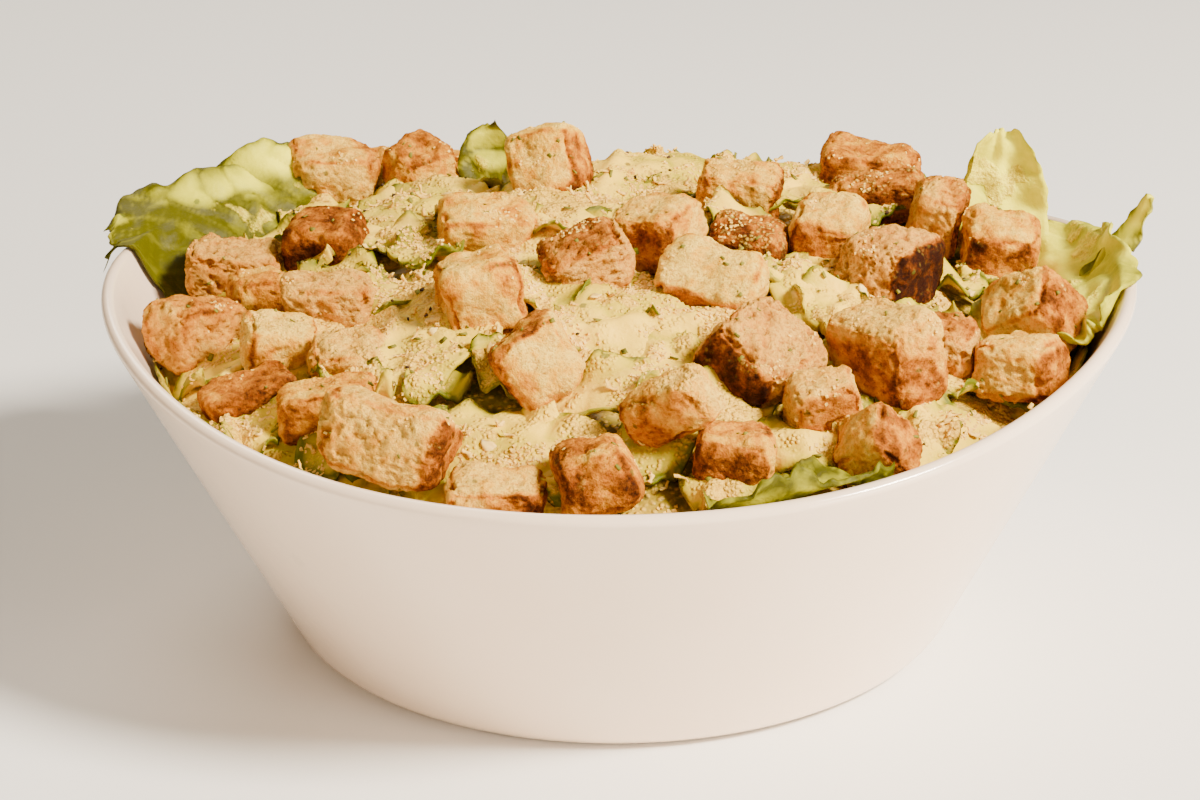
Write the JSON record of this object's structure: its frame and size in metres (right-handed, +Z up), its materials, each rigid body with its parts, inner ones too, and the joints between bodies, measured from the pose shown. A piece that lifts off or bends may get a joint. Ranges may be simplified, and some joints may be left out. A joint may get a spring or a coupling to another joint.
{
  "type": "caesar salad",
  "caption": "Round white bowl with a waved rim, heaped with torn romaine leaves, creamy dressing, grated cheese and toasted bread cubes.",
  "frame": {"origin": "middle of the bowl's flat underside, on the table", "axes": "+Z up, -Y the front that the camera sees, +X to the right, where the rim rises as it does on the left"},
  "size_m": [0.2131, 0.1922, 0.0913],
  "materials": {
    "bowl": "glossy white glaze",
    "salad": "moist leaves with creamy dressing and grated cheese",
    "crouton": "toasted bread, pale crumb and browned edges"
  },
  "bodies": {
    "root": {"bowl": "bowl", "salad": "salad", "crouton_01": "crouton", "crouton_02": "crouton", "crouton_03": "crouton", "crouton_04": "crouton", "crouton_05": "crouton", "crouton_06": "crouton", "crouton_07": "crouton", "crouton_08": "crouton", "crouton_09": "crouton", "crouton_10": "crouton", "crouton_11": "crouton", "crouton_12": "crouton", "crouton_13": "crouton", "crouton_14": "crouton", "crouton_15": "crouton", "crouton_16": "crouton", "crouton_17": "crouton", "crouton_18": "crouton", "crouton_19": "crouton", "crouton_20": "crouton", "crouton_21": "crouton", "crouton_22": "crouton", "crouton_23": "crouton", "crouton_24": "crouton", "crouton_25": "crouton", "crouton_26": "crouton", "crouton_27": "crouton", "crouton_28": "crouton", "crouton_29": "crouton", "crouton_30": "crouton", "crouton_31": "crouton", "crouton_32": "crouton", "crouton_33": "crouton", "crouton_34": "crouton", "crouton_35": "crouton", "crouton_36": "crouton", "crouton_37": "crouton", "crouton_38": "crouton", "crouton_39": "crouton", "crouton_40": "crouton", "crouton_41": "crouton", "crouton_42": "crouton", "crouton_43": "crouton"}
  },
  "joints": []
}
